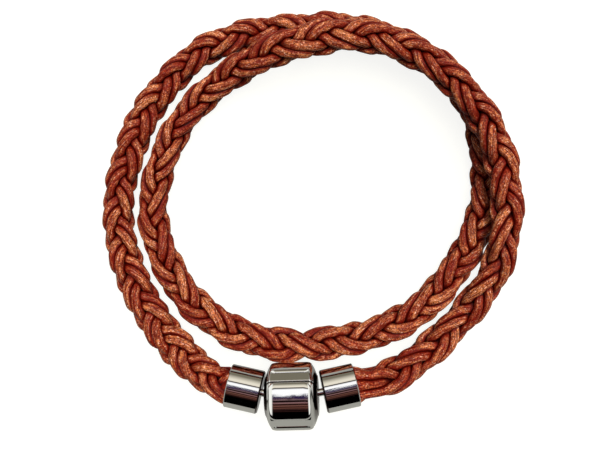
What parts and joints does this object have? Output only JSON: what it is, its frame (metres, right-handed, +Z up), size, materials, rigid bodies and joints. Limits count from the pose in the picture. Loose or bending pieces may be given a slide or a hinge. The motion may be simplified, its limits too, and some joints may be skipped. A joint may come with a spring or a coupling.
{
  "type": "braided leather bracelet",
  "caption": "Double-wrap bracelet of round braided leather, its end caps joined by a hinged snap barrel of polished steel, lying closed on a flat surface.",
  "frame": {"origin": "centre of the bounding box's base, on the surface that the closed bracelet lies on", "axes": "+X along the barrel towards its right end, +Y from the barrel to the far side of the ring, +Z up, along the wrist's own axis"},
  "size_m": [0.0746, 0.0746, 0.0122],
  "materials": {
    "leather": "dyed reddish brown with rubbed paler patches, waxed",
    "polished_steel": "mirror polished stainless steel",
    "pin_steel": "drawn wire"
  },
  "bodies": {
    "bracelet": {"braided_cord": "leather", "left_end_cap": "polished_steel", "right_end_cap": "polished_steel", "barrel_base": "polished_steel", "hinge_pin": "pin_steel"},
    "lid": {"barrel_lid": "polished_steel"}
  },
  "joints": [
    {"name": "lid_hinge", "type": "hinge", "parent": "bracelet", "child": "lid", "pos_m": [-0.0024, -0.03439, 0.00232], "axis": [0.9966, 0.0435, 0.0698], "range_deg": [0, 75]}
  ]
}
